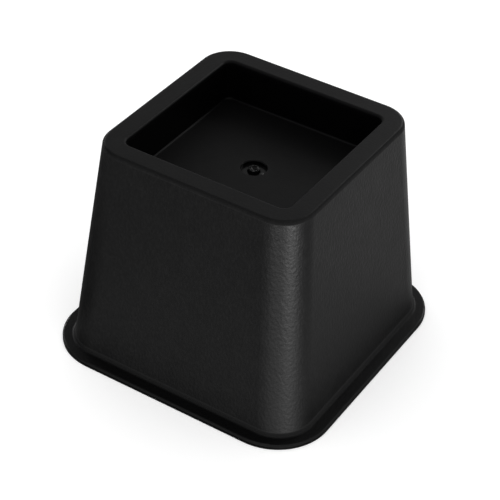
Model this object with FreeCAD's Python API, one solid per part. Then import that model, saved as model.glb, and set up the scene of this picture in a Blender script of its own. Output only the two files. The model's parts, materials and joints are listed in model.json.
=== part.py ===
import FreeCAD, Part
import math
import os

# Bed riser: one injection moulding of black plastic.
# It stands on a flange, its four walls lean in towards the top, and the rim surrounds a square
# socket that takes the foot of a furniture leg. The underside is hollow. Crossed ribs carry the
# socket floor out to the walls and stop short of the ground, so that risers can be stacked.
# Origin: centre of the base, on the ground. +Z is up, and X and Y run square to the walls.

# Driving dimensions, in millimetres and degrees

lift = 76.2                  # ground to the socket floor, the height that a leg is raised
socket_depth = 17.2          # socket floor to the top of the rim
socket_width = 70.9          # across the mouth of the socket
socket_corner = 3.5          # radius of the socket's upright corners, at the mouth
socket_draft = 1.0           # lean of the socket walls, degrees
socket_wall = 2.6            # side walls of the socket's box, seen from below
socket_floor = 3.2           # thickness of the plate under the leg
rim_land = 8.9               # from the socket's mouth to the outside of the wall
rim_corner = 13.0            # radius of the walls' corners at the rim
rim_thickness = 2.8
base_width = 107.6           # across the walls at the ground
base_corner = 14.6           # radius of the walls' corners at the ground
wall = 2.6                   # outer walls, measured level
flange_reach = 5.8           # flange beyond the walls
flange_corner = 22.9         # radius of the flange's corners
flange_thickness = 2.0
stack_depth = 25.0           # clear height from the ground to the ribs
rib_pitch = 27.0             # between the two ribs that run the same way
rib_tip = 1.6                # rib thickness at its free edge
rib_root = 2.4               # rib thickness at the height of the rim
rim_round = 1.4              # outer edge of the rim
lip_round = 1.1              # edge of the socket's mouth
seat_round = 1.0             # inside corner round the socket floor
foot_round = 1.5             # inside corner where the walls meet the flange
flange_round = 0.8           # upper edge of the flange
gate_diameter = 9.8          # round well in the socket floor where the mould was filled
gate_depth = 1.6
gate_bevel = 0.4             # broken edge round the well
stub_diameter = 5.2          # foot of the sprue's stub, in the middle of the well
stub_tip = 4.4               # the stub's diameter where the sprue broke off
stub_height = 1.2
dish_diameter = 2.6          # hollow that the break left in the stub
dish_depth = 0.6
overrun = 1.0                # how far a cutting shape runs past the face that it opens

# Sizes that follow from them

height = lift + socket_depth
rim_width = socket_width + 2 * rim_land
flange_width = base_width + 2 * flange_reach
wall_lean = (base_width - rim_width) / 2 / height

UP = FreeCAD.Vector(0, 0, 1)
LEVEL = 0.001                # two heights closer than this are the same


def turned(points, turns):
    """Points of a plan, turned about the middle by quarter turns."""
    for turn in range(turns):
        points = [(-y, x) for x, y in points]
    return points


def rounded_square(width, corner, z):
    """Level outline at height z: four straight sides joined by arcs."""
    half = width / 2
    run = half - corner
    bulge = run + corner * math.sqrt(0.5)
    quarter = [(half, -run), (half, run), (bulge, bulge), (run, half)]
    edges = []
    for turn in range(4):
        start, end, middle, after = [FreeCAD.Vector(x, y, z) for x, y in turned(quarter, turn)]
        edges.append(Part.LineSegment(start, end).toShape())
        edges.append(Part.Arc(end, middle, after).toShape())
    return Part.Wire(edges)


def wall_half(z, inset):
    """From the middle to a wall at height z, moved inwards by inset."""
    return (base_width + (rim_width - base_width) * z / height) / 2 - inset


def wall_corner(z, inset):
    """From a corner's leaning axis to the walls beside it, at height z."""
    return base_corner + (rim_corner - base_corner) * z / height - inset


def corner_axis(z, inset):
    """Where the leaning axis of a corner's cone passes height z: the X and the Y of that point."""
    return wall_half(z, inset) - wall_corner(z, inset)


def corner_start(z, inset):
    """From a wall's middle to the line where the cone touches it, at height z. The flat face ends there."""
    rise = wall_lean / (1 + wall_lean ** 2)
    growth = (rim_corner - base_corner) / height
    foot = (z - wall_corner(0, inset) * rise) / (1 + growth * rise)
    return corner_axis(foot, inset)


def flat_sided(outline, low, high):
    """Solid with flat faces between a polygon's shapes at two heights."""
    foot, top = [[FreeCAD.Vector(x, y, z) for x, y in outline(z)] for z in (low, high)]
    rings = [foot, top]
    for i in range(len(foot)):
        rings.append([foot[i - 1], foot[i], top[i], top[i - 1]])
    return Part.Solid(Part.Shell([Part.Face(Part.makePolygon(ring + ring[:1])) for ring in rings]))


def corner_cone(low, high, inset):
    """One rounded corner: the part of a leaning cone between the two walls that it touches."""
    def sector(z):
        axis = corner_axis(z, inset)
        beyond = 2 * wall_half(z, inset) - axis
        side = 2 * corner_start(z, inset) - axis
        return [(axis, axis), (beyond, side), (beyond, beyond), (side, beyond)]

    ends = [low - base_corner, high + rim_corner]
    foot, top = [FreeCAD.Vector(corner_axis(z, inset), corner_axis(z, inset), z) for z in ends]
    length = (top - foot).Length
    touching = [wall_corner(z, inset) / math.hypot(1, wall_lean) for z in ends]
    slope = math.cos(math.asin((touching[0] - touching[1]) / length))
    cone = Part.makeCone(touching[0] / slope, touching[1] / slope, length, foot, top - foot)
    return cone.common(flat_sided(sector, low, high))


def leaning_walls(low, high, inset):
    """Solid within the leaning walls between two heights: a flat-sided core and four cones."""
    def core(z):
        half, axis, side = wall_half(z, inset), corner_axis(z, inset), corner_start(z, inset)
        quarter = [(half, -side), (half, side), (axis, axis)]
        return [point for turn in range(4) for point in turned(quarter, turn)]

    corners = []
    for turn in range(4):
        corner = corner_cone(low, high, inset)
        corner.rotate(FreeCAD.Vector(0, 0, 0), UP, 90 * turn)
        corners.append(corner)
    return flat_sided(core, low, high).fuse(corners).removeSplitter()


def socket_outline(z, outset):
    """Outline of the socket at height z, moved outwards by outset."""
    narrowing = (height - z) * math.tan(math.radians(socket_draft))
    grown = outset - narrowing
    return rounded_square(socket_width + 2 * grown, socket_corner + grown, z)


def tapered(outline, offset, low, high):
    """Solid between an outline's shapes at two heights."""
    return Part.makeLoft([outline(low, offset), outline(high, offset)], True, True)


def level_edges(shape, z, reach):
    """Edges that lie level at height z and no further than reach from the X and Y axes."""
    found = []
    for edge in shape.Edges:
        ends = [vertex.Point for vertex in edge.Vertexes] + [edge.CenterOfMass]
        level = all(abs(point.z - z) < LEVEL for point in ends)
        near = all(max(abs(point.x), abs(point.y)) < reach + LEVEL for point in ends)
        if level and near:
            found.append(edge)
    return found


def make_outside():
    """Solid block with the riser's outer faces: the leaning walls on their flange."""
    walls = leaning_walls(0, height, 0)
    walls = walls.makeFillet(rim_round, level_edges(walls, height, rim_width / 2))
    flange = Part.Face(rounded_square(flange_width, flange_corner, 0)).extrude(UP * flange_thickness)
    flange = flange.makeFillet(flange_round, level_edges(flange, flange_thickness, flange_width / 2))
    block = walls.fuse(flange)
    return block.makeFillet(foot_round, level_edges(block, flange_thickness, base_width / 2))


def make_rib():
    """One rib along Y, thinner towards its free edge and longer than the hollow is wide."""
    section = [(-rib_tip / 2, stack_depth), (rib_tip / 2, stack_depth),
               (rib_root / 2, height), (-rib_root / 2, height)]
    corners = [FreeCAD.Vector(x, -flange_width / 2, z) for x, z in section]
    face = Part.Face(Part.makePolygon(corners + corners[:1]))
    return face.extrude(FreeCAD.Vector(0, flange_width, 0))


def make_ribs():
    """Two ribs each way, crossed under the socket."""
    ribs = []
    for turn in range(4):
        rib = make_rib()
        rib.translate(FreeCAD.Vector(rib_pitch / 2, 0, 0))
        rib.rotate(FreeCAD.Vector(0, 0, 0), UP, 90 * turn)
        ribs.append(rib)
    return ribs


def make_hollow():
    """The open space inside: within the walls, less the socket's box and the ribs."""
    space = leaning_walls(-overrun, height - rim_thickness, wall)
    socket_box = tapered(socket_outline, socket_wall, lift - socket_floor, height)
    return space.cut([socket_box] + make_ribs())


def make_socket():
    """The space that the leg goes into, with a rounded foot and an open top."""
    space = tapered(socket_outline, 0, lift, height + overrun)
    return space.makeFillet(seat_round, level_edges(space, lift, socket_width / 2))


def make_gate():
    """The gate's well as a turned space, with the sprue's stub left standing in the middle."""
    bottom = lift - gate_depth
    tip = bottom + stub_height
    profile = [(0, tip - dish_depth), (dish_diameter / 2, tip), (stub_tip / 2, tip), (stub_diameter / 2, bottom),
               (gate_diameter / 2, bottom), (gate_diameter / 2, lift - gate_bevel),
               (gate_diameter / 2 + gate_bevel + overrun, lift + overrun), (0, lift + overrun)]
    corners = [FreeCAD.Vector(r, 0, z) for r, z in profile]
    face = Part.Face(Part.makePolygon(corners + corners[:1]))
    return face.revolve(FreeCAD.Vector(0, 0, 0), UP, 360)


def make_riser():
    """The whole moulding."""
    body = make_outside().cut(make_hollow()).cut(make_socket())
    body = body.makeFillet(lip_round, level_edges(body, height, socket_width / 2))
    return body.cut(make_gate())


os.makedirs("parts", exist_ok=True)
riser = make_riser().Solids[0]
riser.exportStep("parts/riser_body.step")
print("riser_body", riser.isValid(), "volume", round(riser.Volume / 1000, 1), "cm3, height", round(height, 1))
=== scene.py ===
# %% [markdown]
# # A moulded bed riser
# The object is one injection moulding of black plastic: a hollow, leaning box on a flange, with a
# square socket on top for the leg of a bed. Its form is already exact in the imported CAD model, so
# this lesson leaves that mesh alone and spends its effort on what CAD lacks: the mould's grain, the
# gloss of each zone, the torn sprue, and the light that makes black plastic readable.

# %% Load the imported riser
import bpy
import json
import math
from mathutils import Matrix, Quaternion, Vector


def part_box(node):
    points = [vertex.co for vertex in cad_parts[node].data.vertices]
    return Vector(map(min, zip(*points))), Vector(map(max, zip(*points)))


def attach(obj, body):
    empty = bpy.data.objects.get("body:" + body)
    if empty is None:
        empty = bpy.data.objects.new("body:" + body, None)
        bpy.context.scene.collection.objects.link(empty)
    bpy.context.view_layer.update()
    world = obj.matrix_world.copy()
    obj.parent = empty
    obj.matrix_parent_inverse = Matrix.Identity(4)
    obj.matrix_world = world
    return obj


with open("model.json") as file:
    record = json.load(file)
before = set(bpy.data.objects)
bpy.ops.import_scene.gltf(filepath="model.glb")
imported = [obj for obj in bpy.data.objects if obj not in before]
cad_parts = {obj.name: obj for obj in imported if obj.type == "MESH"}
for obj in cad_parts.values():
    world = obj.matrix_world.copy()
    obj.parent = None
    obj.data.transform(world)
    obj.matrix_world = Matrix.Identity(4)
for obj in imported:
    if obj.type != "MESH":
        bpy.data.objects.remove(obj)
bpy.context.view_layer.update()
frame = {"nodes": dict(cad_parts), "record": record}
riser = frame["nodes"]["riser_body"]
box_low, box_high = (Vector(corner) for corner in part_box("riser_body"))
mounts = {mount["name"]: mount for mount in frame["record"]["mounts"]}
seat_height = mounts["leg_seat"]["pos_m"][2]
rim_height = box_high.z
sides_mm = [round(1000 * side, 1) for side in box_high - box_low]
print("riser", sides_mm, "mm, seat at", round(1000 * seat_height, 1))

# %% [markdown]
# ## Where the zones are
# On the real riser the finish changes with the part of the mould that made it: the cavity was
# grained, the core was only polished along the draw, and the gate tore. The material has to know
# which is which. The limits could be typed in, but then they would be wrong as soon as the CAD
# changed, so they are measured on the mesh: the walls at two heights, and the well of the gate.
# The values below only say where to look.

# %% Measure the walls and the gate
points = [vertex.co for vertex in riser.data.vertices]
near = 0.00005
flange_search = 0.004
foot_search = (0.0012, 0.006)
rim_search = (-0.003, -0.001)
gate_search, gate_search_depth = 0.009, 0.0028
stub_share = 0.55


def wall_section(height, search):
    """The outer walls in a range above a height: height, half width, half length of the flat face."""
    low, high = (height + limit for limit in search)
    half, found = max((point.x, point.z) for point in points if low < point.z < high)
    flat = max(point.y for point in points if abs(point.z - found) < near and abs(point.x - half) < near)
    return found, half, flat


def from_middle(point):
    """Distance from the upright line through the middle of the riser."""
    return math.hypot(point.x, point.y)


flange_top = max(point.z for point in points if point.x > box_high.x - flange_search)
foot_section = wall_section(flange_top, foot_search)
rim_section = wall_section(rim_height, rim_search)
plate_points = [point for point in points if point.z > seat_height - gate_search_depth]
gate_points = [point for point in plate_points if from_middle(point) < gate_search]
gate_radius = max(from_middle(point) for point in gate_points)
stub_points = [point for point in gate_points if from_middle(point) < stub_share * gate_radius]
stub_top = max(point.z for point in stub_points)
stub_radius = max(from_middle(point) for point in stub_points if point.z > stub_top - near)
for name, section in (("foot", foot_section), ("rim", rim_section)):
    print(name, "height, half width, flat:", [round(1000 * value, 2) for value in section], "mm")
print("gate radius", round(1000 * gate_radius, 2), "stub radius", round(1000 * stub_radius, 2), "mm")

# %% [markdown]
# ## The camera
# A photographer looked down on the riser past one corner, so that two walls and the socket show.
# The angles below reproduce that view. A long lens from about 66 cm keeps the same mild
# perspective, and the slight roll is the photograph's own. Distance and lens are separate on
# purpose: distance sets the perspective, and the lens only sets how large the riser appears.

# %% Place the camera
view_azimuth = math.radians(30.945)
view_elevation = math.radians(38.108)
view_roll = math.radians(2.779)
view_distance = 0.6620
aim = Vector((0, 0, 0.0365))
lens_mm = 121.14
sensor_mm = 36.0


def from_bearing(azimuth, elevation):
    """Unit vector towards a bearing: azimuth 0 is -Y, and 90 degrees is +X."""
    level = math.cos(elevation)
    return Vector((math.sin(azimuth) * level, -math.cos(azimuth) * level, math.sin(elevation)))


camera = bpy.data.objects.new("camera", bpy.data.cameras.new("camera"))
bpy.context.scene.collection.objects.link(camera)
bpy.context.scene.camera = camera
camera.data.lens = lens_mm
camera.data.sensor_width = sensor_mm
towards_camera = from_bearing(view_azimuth, view_elevation)
camera.location = aim + towards_camera * view_distance
camera.rotation_mode = "QUATERNION"
camera.rotation_quaternion = towards_camera.to_track_quat("Z", "Y") @ Quaternion((0, 0, 1), view_roll)
print("camera at", [round(value, 3) for value in camera.location])

# %% [markdown]
# ## Node arithmetic
# A material is a web of nodes, and most of them only add, multiply or blend numbers. Wrapping a
# socket in a small class lets Python's own operators place those nodes, so that a formula reads as
# a formula. One method places every other kind of node, in a material or in a geometry tree.

# %% A socket that can be added and multiplied
class Wire:
    """One output socket of a node tree, with arithmetic that adds Math nodes."""

    def __init__(self, board, socket):
        self.board = board
        self.socket = socket

    def maths(self, operation, first, second=0.0):
        return self.board.add("ShaderNodeMath", {"operation": operation}, {0: first, 1: second})

    def __add__(self, other):
        return self.maths("ADD", self, other)

    def __sub__(self, other):
        return self.maths("SUBTRACT", self, other)

    def __rsub__(self, other):
        return self.maths("SUBTRACT", other, self)

    def __mul__(self, other):
        return self.maths("MULTIPLY", self, other)

    def __pow__(self, other):
        return self.maths("POWER", self, other)

    def __abs__(self):
        return self.maths("ABSOLUTE", self)

    def at_least(self, other):
        return self.maths("MAXIMUM", self, other)

    __radd__ = __add__
    __rmul__ = __mul__


print("sockets can be added, subtracted and multiplied")


# %% A node tree under construction
class Board:
    """A node tree that starts empty and is filled by method calls."""

    def __init__(self, tree):
        self.tree = tree
        self.tree.nodes.clear()

    def add(self, kind, settings=None, inputs=None, output=0):
        """Place a node: settings first, then the values or links of its sockets."""
        node = self.tree.nodes.new(kind)
        for key, value in (settings or {}).items():
            setattr(node, key, value)
        for key, value in (inputs or {}).items():
            wires = value if isinstance(value, list) else [value]
            for wire in wires:
                if isinstance(wire, Wire):
                    self.tree.links.new(wire.socket, node.inputs[key])
                else:
                    node.inputs[key].default_value = wire
        if isinstance(output, tuple):
            return [Wire(self, node.outputs[name]) for name in output]
        return Wire(self, node.outputs[output]) if node.outputs else None

    def band(self, value, low, high):
        """0 below low, 1 above high, and a smooth step between."""
        return self.add("ShaderNodeMapRange", {"interpolation_type": "SMOOTHSTEP"},
                        {"Value": value, "From Min": low, "From Max": high})

    def noise(self, vector, size, detail=2.0):
        """Noise with lumps of a size in metres, about 0 on average."""
        return self.add("ShaderNodeTexNoise", None,
                        {"Vector": vector, "Scale": 1 / size, "Detail": detail}) - 0.5

    def bumps(self, height):
        """Normals of a surface that is raised by a height in metres."""
        return self.add("ShaderNodeBump", None, {"Height": height, "Distance": 1.0, "Strength": 1.0})


def blank_material(name):
    """A material with an empty node tree, and the board to fill it."""
    material = bpy.data.materials.new(name)
    material.use_nodes = True
    return material, Board(material.node_tree)


print("boards can place any node, a band, noise and bumps")

# %% [markdown]
# ## The studio
# Black plastic shows almost nothing of its own colour: what the eye reads is the room mirrored in
# it. The floor is a plain white table, and the surroundings are an even white. They alone make one
# wall paler than the other, because plastic mirrors more where it is seen at a slant. A weak soft
# box overhead adds a little light from above. The other lamps are there only to be mirrored. Two
# panels behind the riser lift its rim and the socket floor. Two low strips beside the camera draw
# the bright band down the rounded corner and lift both walls a little. They are more than five
# hundred times as bright as the room, because this plastic is set to mirror very little: with the
# usual amount, the white room would turn it grey. The price is that the corner's highlight depends
# on these strips and is missing under even light. Two weaker strips lift the walls at the back. All
# four stand lower than the rim, so that its flat top doesn't glare when seen from the far side.

# %% Floor and surroundings
floor_size = 8.0
table_white = (0.94, 0.94, 0.94, 1)
table_lift = 0.17
table_gap = 0.0001
room_white = (1.0, 1.0, 1.0, 1)
seen_rays = ("Is Camera Ray", "Is Glossy Ray", "Is Transmission Ray")

bpy.ops.mesh.primitive_plane_add(size=floor_size, location=(0, 0, box_low.z - table_gap))
floor = bpy.context.object
floor.name = "floor"
table_paint, table = blank_material("white_table")
seen = sum(table.add("ShaderNodeLightPath", output=seen_rays))
matt = table.add("ShaderNodeBsdfDiffuse", None, {"Color": table_white})
glow = table.add("ShaderNodeEmission", None, {"Color": room_white, "Strength": table_lift * seen})
table_surface = table.add("ShaderNodeAddShader", None, {0: matt, 1: glow})
table.add("ShaderNodeOutputMaterial", None, {"Surface": table_surface})
floor.data.materials.append(table_paint)

world = bpy.data.worlds.new("room")
bpy.context.scene.world = world
world.use_nodes = True
room = Board(world.node_tree)
room_light = room.add("ShaderNodeBackground", None, {"Color": room_white, "Strength": 1.0})
room.add("ShaderNodeOutputWorld", None, {"Surface": room_light})
bpy.context.scene.view_settings.view_transform = "Standard"
print("white table", floor_size, "m square")


# %% Lamps
def soft_lamp(name, azimuth, elevation, distance, width, height, watts, only_mirrored=True):
    """A rectangular soft box that faces the riser, with its bearing in degrees."""
    data = bpy.data.lights.new(name, "AREA")
    data.shape = "RECTANGLE"
    data.size = width
    data.size_y = height
    data.energy = watts
    lamp = bpy.data.objects.new(name, data)
    bpy.context.scene.collection.objects.link(lamp)
    bearing = from_bearing(math.radians(azimuth), math.radians(elevation))
    lamp.location = aim + bearing * distance
    lamp.rotation_euler = bearing.to_track_quat("Z", "Y").to_euler()
    lamp.visible_camera = False
    lamp.visible_diffuse = not only_mirrored
    print("lamp", name, "at", [round(value, 2) for value in lamp.location])


soft_lamp("overhead", azimuth=20, elevation=75, distance=1.8, width=1.6, height=1.2, watts=4,
          only_mirrored=False)
soft_lamp("backdrop", azimuth=211, elevation=42, distance=1.5, width=1.6, height=1.0, watts=1.8)
soft_lamp("behind", azimuth=165, elevation=40, distance=0.5, width=0.3, height=0.2, watts=1.2)

# %% Strips that are lower than the rim
strip_distance = 1.5
strip_bottom = 0.002
strip_clearance = 0.0014
strip_height = rim_height - strip_clearance - strip_bottom
strip_middle = strip_bottom + strip_height / 2
strip_elevation = math.degrees(math.asin((strip_middle - aim.z) / strip_distance))
for name, azimuth, width, watts in (("front_right", 58, 0.55, 186), ("front_left", 14, 0.40, 62),
                                    ("back_left", 250, 0.55, 30), ("back_right", 178, 0.40, 16)):
    soft_lamp(name, azimuth, strip_elevation, strip_distance, width, strip_height, watts)

# %% [markdown]
# ## Black cards
# A white table is mirrored so strongly where a face turns away from the camera that a black edge
# would fade into the background. Photographers lay black cards round a dark object, outside the
# picture, and the edges mirror those instead. One card lies beside the riser and darkens the edge
# of its left wall. The other is cut a little larger than the foot and darkens the edge of the
# flange. Both show in reflections alone, so the table stays white and keeps the riser's shadow.

# %% Cut the cards
side_gap, side_width = 0.0024, 0.338
side_front, side_back = -0.09, 0.30
foot_margin = 0.004
card_height = 0.0006
arc_steps = 12

side_right = box_low.x - side_gap
side_left = side_right - side_width
side_card = [(side_left, side_front), (side_right, side_front),
             (side_right, side_back), (side_left, side_back)]
flange_flat = max(point.y for point in points if point.x > box_high.x - near)
foot_reach = box_high.x - flange_flat + foot_margin
foot_card = []
for step in range(4 * arc_steps):
    angle = math.tau * (step + 0.5) / (4 * arc_steps)
    across, along = math.cos(angle), math.sin(angle)
    foot_card.append((math.copysign(flange_flat, across) + foot_reach * across,
                      math.copysign(flange_flat, along) + foot_reach * along))
print("the foot's card reaches", round(1000 * foot_margin, 1), "mm past the flange")

# %% Lay the cards
card_black = (0.01, 0.01, 0.01, 1)
card_paper, paper = blank_material("black_card")
paper_face = paper.add("ShaderNodeBsdfDiffuse", None, {"Color": card_black})
paper.add("ShaderNodeOutputMaterial", None, {"Surface": paper_face})
for name, outline in (("side_card", side_card), ("foot_card", foot_card)):
    mesh = bpy.data.meshes.new(name)
    mesh.from_pydata([(x, y, card_height) for x, y in outline], [], [range(len(outline))])
    mesh.materials.append(card_paper)
    card = bpy.data.objects.new(name, mesh)
    bpy.context.scene.collection.objects.link(card)
    card.visible_camera = False
    card.visible_diffuse = False
    card.visible_shadow = False
    print(name, "with", len(outline), "corners")

# %% [markdown]
# ## Where each finish starts
# Every face of a moulding copies the steel that formed it, so the material needs a mask for each
# zone of the mould. The zones could be separate materials on separate faces, but then they would
# meet in hard lines. Masks come instead from the point's place and from the way that its face
# looks, and each fades in between two limits. The wall mask is the distance below a rounded square
# that narrows with height, by the sizes measured above.

# %% Limits of the zones
# In metres from the height or the radius that the name says. A tilt is the upward part of a
# face's direction, which is 1 where the face is level.
below_skin = (0.0008, 0.0018)
off_flange = (0.0008, 0.0026)
fillet_start, fillet_end = (0.0, 0.0004), (0.001, 0.002)
flange_edge_end, flange_side_end = (-0.0003, -0.0001), (-0.0009, -0.0006)
rim_start, rim_edge_start = (-0.0024, -0.0014), (-0.0018, -0.0012)
plate_start, seat_end = (-0.0026, -0.0020), (0.001, 0.002)
gate_end = (-0.0001, 0.0003)
blush_reach = 0.013
upward_tilt, level_tilt = (0.4, 0.8), (0.85, 0.98)


def below_walls(x, y, z):
    """Depth below the outside of the leaning walls, in metres."""
    foot_z, foot_half, foot_flat = foot_section
    rim_z, rim_half, rim_flat = rim_section
    share = (z - foot_z) * (1 / (rim_z - foot_z))
    half = foot_half + share * (rim_half - foot_half)
    flat = foot_flat + share * (rim_flat - foot_flat)
    past_x = (abs(x) - flat).at_least(0.0)
    past_y = (abs(y) - flat).at_least(0.0)
    return half - flat - (past_x * past_x + past_y * past_y) ** 0.5


print("the blush round the gate ends at", round(1000 * blush_reach, 1), "mm from the middle")


# %% Masks of the zones
def zone_masks(board, place, facing):
    """The zones of the moulding by name, each a number from 0 to 1."""
    x, y, z = board.add("ShaderNodeSeparateXYZ", None, {"Vector": place}, ("X", "Y", "Z"))
    tilt = board.add("ShaderNodeSeparateXYZ", None, {"Vector": facing}, "Z")
    radius = (x * x + y * y) ** 0.5
    above_flange, above_rim, above_seat = z - flange_top, z - rim_height, z - seat_height
    upward = board.band(tilt, *upward_tilt)
    tilted = 1 - board.band(tilt, *level_tilt)
    outside = 1 - board.band(below_walls(x, y, z), *below_skin)
    over_flange = board.band(above_flange, *off_flange)
    over_plate = board.band(above_seat, *plate_start)
    at_rim = board.band(above_rim, *rim_start)
    in_fillet = board.band(above_flange, *fillet_start) * (1 - board.band(above_flange, *fillet_end))

    wall = outside * over_flange * (1 - upward)
    flange = outside * (1 - over_flange)
    seat = upward * over_plate * (1 - board.band(above_seat, *seat_end))
    gate = over_plate * (1 - board.band(radius - gate_radius, *gate_end))
    return {
        "wall": wall,
        "wall_rise": board.band(z, flange_top, rim_height),
        "rim": at_rim * (1 - wall),
        "rim_edge": outside * board.band(above_rim, *rim_edge_start) * tilted,
        "flange": flange,
        "fillet": flange * in_fillet,
        "flange_edge": outside * (1 - board.band(above_flange, *flange_edge_end)),
        "flange_side": outside * (1 - board.band(above_flange, *flange_side_end)),
        "socket_wall": over_plate * (1 - upward) * (1 - outside) * (1 - at_rim),
        "seat": seat,
        "gate": gate,
        "grained_seat": seat * (1 - gate),
        "blush": over_plate * upward * (1 - board.band(radius, gate_radius, blush_reach)),
        "core": (1 - outside) * (1 - upward),
    }


print("zones are told apart by place and tilt")

# %% [markdown]
# ## Black moulded plastic
# The walls copy a spark-eroded cavity: a fine pebbled grain, drawn out a little where the part
# slid from the mould, that breaks the corner's highlight into specks. The rim and the flange have
# a weaker grain, the socket floor a satin finish, and the gate is almost glossy where the plastic
# froze last. Inside, the core was polished along the draw, so faint lines run up the walls. The
# rounded edges are dull: glossy ones would catch the strips as bright lines. Round the gate the
# plastic is a trace paler, the blush of a hot mould. The grain could be real displacement, but at
# a tenth of a millimetre bump gives the same look with none of the triangles.

# %% Roughness of each zone
wall_top_rough, wall_foot_rough = 0.435, 0.545
rim_rough, flange_rough, seat_rough = 0.46, 0.60, 0.54
gate_rough, socket_rough, core_rough = 0.22, 0.22, 0.42
edge_rough, side_rough, foot_rough = 1.0, 0.35, 1.0
cloud_size, cloud_rough = 0.006, 0.12


def mixed(mask, outside, inside):
    """One number where the mask is 0 and another where it is 1."""
    return outside + mask * (inside - outside)


def plastic_rough(zone, clouds):
    """Roughness of every zone, a little uneven all over."""
    wall_rough = mixed(zone["wall_rise"], wall_foot_rough, wall_top_rough)
    layers = (("wall", wall_rough), ("rim", rim_rough), ("rim_edge", edge_rough), ("flange", flange_rough),
              ("fillet", foot_rough), ("flange_edge", edge_rough), ("flange_side", side_rough),
              ("socket_wall", socket_rough), ("seat", seat_rough), ("gate", gate_rough))
    rough = core_rough
    for name, value in layers:
        rough = mixed(zone[name], rough, value)
    return rough + cloud_rough * clouds


print("wall roughness from", wall_foot_rough, "at the foot to", wall_top_rough, "at the rim")

# %% Grain and draw lines
grain_size, grain_stretch, grain_depth = 0.0010, 1.5, 0.00012
rim_grain, flange_grain, seat_grain = 0.4, 0.5, 0.3
draw_line_width, draw_line_length, draw_line_depth = 0.0004, 0.02, 0.00002


def drawn_out(board, place, stretch):
    """Coordinates that make a pattern longer along the upright."""
    return board.add("ShaderNodeVectorMath", {"operation": "MULTIPLY"}, {0: place, 1: (1, 1, 1 / stretch)})


def mould_grain(board, place):
    """The pebbled grain of the cavity, about 0 on average."""
    return board.noise(drawn_out(board, place, grain_stretch), grain_size)


def plastic_relief(board, place, zone, grain):
    """Height of the surface in metres: grain outside, draw lines inside."""
    grained = zone["wall"] + rim_grain * zone["rim"] + flange_grain * zone["flange"]
    grained = grained + seat_grain * zone["grained_seat"]
    along_draw = drawn_out(board, place, draw_line_length / draw_line_width)
    draw_lines = board.noise(along_draw, draw_line_width, detail=1.0)
    return grain_depth * grained * grain + draw_line_depth * zone["core"] * draw_lines


print("grain of", round(1000 * grain_size, 1), "mm,", round(1000 * grain_depth, 2), "mm deep")

# %% Mix the plastic
plastic_black = (0.0010, 0.0010, 0.0011, 1)
plastic_pale = (0.0034, 0.0034, 0.0034, 1)
specular_level = 0.047
# The socket floor's pale share is a painted sheen, in place of the light that the floor mirrors.
blush_pale, blush_clouds, seat_painted_sheen = 0.5, 1.2, 0.3
speckle_start = (-0.15, 0.25)


def plastic_colour(board, zone, grain, clouds):
    """Black, a trace paler round the gate and on the tops of the grain; on the socket floor the paler
    colour is a painted sheen.
    """
    blush = zone["blush"] * (blush_pale + blush_clouds * clouds)
    speckle = board.band(grain, *speckle_start) * zone["wall"]
    # Blush and speckle are the plastic's own tone; the socket floor's share is a painted sheen.
    pale = blush.at_least(seat_painted_sheen * zone["seat"]).at_least(speckle)
    return board.add("ShaderNodeMix", {"data_type": "RGBA"},
                     {"Factor": pale, "A": plastic_black, "B": plastic_pale}, "Result")


def black_plastic():
    """The finish of the whole moulding."""
    material, board = blank_material("black_plastic")
    place, facing = board.add("ShaderNodeTexCoord", output=("Object", "Normal"))
    zone = zone_masks(board, place, facing)
    clouds = board.noise(place, cloud_size, detail=3.0)
    grain = mould_grain(board, place)
    surface = board.add("ShaderNodeBsdfPrincipled", None, {
        "Base Color": plastic_colour(board, zone, grain, clouds),
        "Roughness": plastic_rough(zone, clouds),
        "Specular IOR Level": specular_level,
        "Normal": board.bumps(plastic_relief(board, place, zone, grain))})
    board.add("ShaderNodeOutputMaterial", None, {"Surface": surface})
    print("plastic mixed from", len(board.tree.nodes), "nodes")
    return material


riser.data.materials.clear()
riser.data.materials.append(black_plastic())

# %% [markdown]
# ## The torn sprue
# The plastic entered through the middle of the socket floor. When the frozen sprue was snapped off,
# it left a stub with a ring of small torn crumbs round a hollow, and a burr on the well's edge.
# Crumbs could be modelled one by one, but what repeats round a ring is work for Geometry Nodes: a
# circle carries copies of one crumb, and a seed turns and sizes each of them. The burr is the same
# crumb, larger and flat. The result is kept as a plain mesh, sunk into the stub and the floor so
# that nothing floats.

# %% Finish of the tear
flake_size, flake_depth, flake_rough = 0.0003, 0.00005, 0.3
torn_rough = 0.22
torn_specular_level = 0.2


def torn_plastic():
    """The uneven, brighter faces that a break leaves."""
    material, board = blank_material("torn_plastic")
    place = board.add("ShaderNodeTexCoord", output="Object")
    flakes = board.noise(place, flake_size)
    surface = board.add("ShaderNodeBsdfPrincipled", None, {
        "Base Color": plastic_pale,
        "Roughness": torn_rough + flake_rough * flakes,
        "Specular IOR Level": torn_specular_level,
        "Normal": board.bumps(flake_depth * flakes)})
    board.add("ShaderNodeOutputMaterial", None, {"Surface": surface})
    print("torn plastic with flakes of", round(1000 * flake_size, 1), "mm")
    return material


# %% A ring of crumbs in Geometry Nodes
crumb_least, crumb_most = (0.5, 0.5, 0.4), (1.5, 1.2, 0.9)
lump_size, lump_height = 0.0004, 1.4
full_turn = (math.tau, math.tau, math.tau)
tear_sockets = {"Ring radius": "Float", "Ring height": "Float", "Crumbs": "Int", "Crumb size": "Float",
                "Burr place": "Vector", "Burr scale": "Vector", "Seed": "Int", "Plastic": "Material"}


def crumb_shape(board, size):
    """One crumb: a ball with lumps and flat facets."""
    ball = board.add("GeometryNodeMeshIcoSphere", None, {"Radius": size, "Subdivisions": 2})
    lumps = board.noise(board.add("GeometryNodeInputPosition"), lump_size)
    outward = board.add("GeometryNodeInputNormal")
    push = board.add("ShaderNodeVectorMath", {"operation": "SCALE"},
                     {0: outward, "Scale": size * lump_height * lumps})
    crumb = board.add("GeometryNodeSetPosition", None, {"Geometry": ball, "Offset": push})
    return board.add("GeometryNodeSetShadeSmooth", None, {"Geometry": crumb, "Shade Smooth": False})


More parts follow.
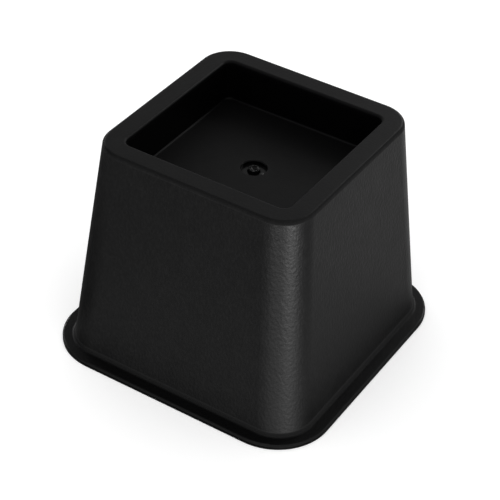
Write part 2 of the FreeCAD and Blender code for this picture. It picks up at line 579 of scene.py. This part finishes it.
def random_vector(board, least, most, seed):
    """A different vector for each crumb."""
    return board.add("FunctionNodeRandomValue", {"data_type": "FLOAT_VECTOR"},
                     {0: least, 1: most, "Seed": seed})


def tear_tree():
    """Geometry Nodes that set the crumbs and the burr. Returns the tree and its inputs by name."""
    tree = bpy.data.node_groups.new("sprue_tear", "GeometryNodeTree")
    inputs = {}
    for name, kind in tear_sockets.items():
        socket = tree.interface.new_socket(name, in_out="INPUT", socket_type="NodeSocket" + kind)
        inputs[name] = socket.identifier
    tree.interface.new_socket("Geometry", in_out="OUTPUT", socket_type="NodeSocketGeometry")
    board = Board(tree)
    group_input = board.add("NodeGroupInput", output=tuple(inputs))
    radius, height, count, size, burr_at, burr_size, seed, plastic = group_input
    ring = board.add("GeometryNodeMeshCircle", None, {"Vertices": count, "Radius": radius})
    lift = board.add("ShaderNodeCombineXYZ", None, {"Z": height})
    ring = board.add("GeometryNodeTransform", None, {"Geometry": ring, "Translation": lift})
    crumb = crumb_shape(board, size)
    turn = random_vector(board, (0, 0, 0), full_turn, seed)
    grow = random_vector(board, crumb_least, crumb_most, seed + 1)
    crumbs = board.add("GeometryNodeInstanceOnPoints", None, {
        "Points": ring, "Instance": crumb, "Rotation": turn, "Scale": grow})
    burr = board.add("GeometryNodeTransform", None, {
        "Geometry": crumb, "Translation": burr_at, "Scale": burr_size})
    torn = board.add("GeometryNodeJoinGeometry", None, {"Geometry": [crumbs, burr]})
    torn = board.add("GeometryNodeRealizeInstances", None, {"Geometry": torn})
    torn = board.add("GeometryNodeSetMaterial", None, {"Geometry": torn, "Material": plastic})
    board.add("NodeGroupOutput", None, {"Geometry": torn})
    print("tear tree with", len(board.tree.nodes), "nodes and", len(inputs), "inputs")
    return tree, inputs


# %% Tear the sprue off
crumb_count = 11
crumb_size = 0.00042
ring_share = 0.78
ring_radius = ring_share * stub_radius
tear_seed = 4
burr_bearing = math.radians(70)
burr_scale = (1.9, 1.5, 0.9)
burr_inset, burr_sink = 0.0004, 0.0001
burr_place = from_bearing(burr_bearing, 0) * (gate_radius - burr_inset)
burr_place.z = seat_height - burr_sink

tear = bpy.data.objects.new("sprue_tear", bpy.data.meshes.new("sprue_tear"))
bpy.context.scene.collection.objects.link(tear)
modifier = tear.modifiers.new("crumbs", "NODES")
modifier.node_group, tear_inputs = tear_tree()
for name, value in (("Ring radius", ring_radius), ("Ring height", stub_top), ("Crumbs", crumb_count),
                    ("Crumb size", crumb_size), ("Burr place", burr_place), ("Burr scale", burr_scale),
                    ("Seed", tear_seed), ("Plastic", torn_plastic())):
    modifier[tear_inputs[name]] = value
tear_mesh = bpy.data.meshes.new_from_object(tear.evaluated_get(bpy.context.evaluated_depsgraph_get()))
tear.modifiers.remove(modifier)
tear.data = tear_mesh
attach(tear, "root")
print("sprue tear:", crumb_count, "crumbs and a burr,", len(tear_mesh.polygons), "faces")

# %% [markdown]
# ## Sizes
# The finish doesn't change the object's size, and the box of the CAD model was kept when it was loaded.

# %% Finish
print("scene finished")
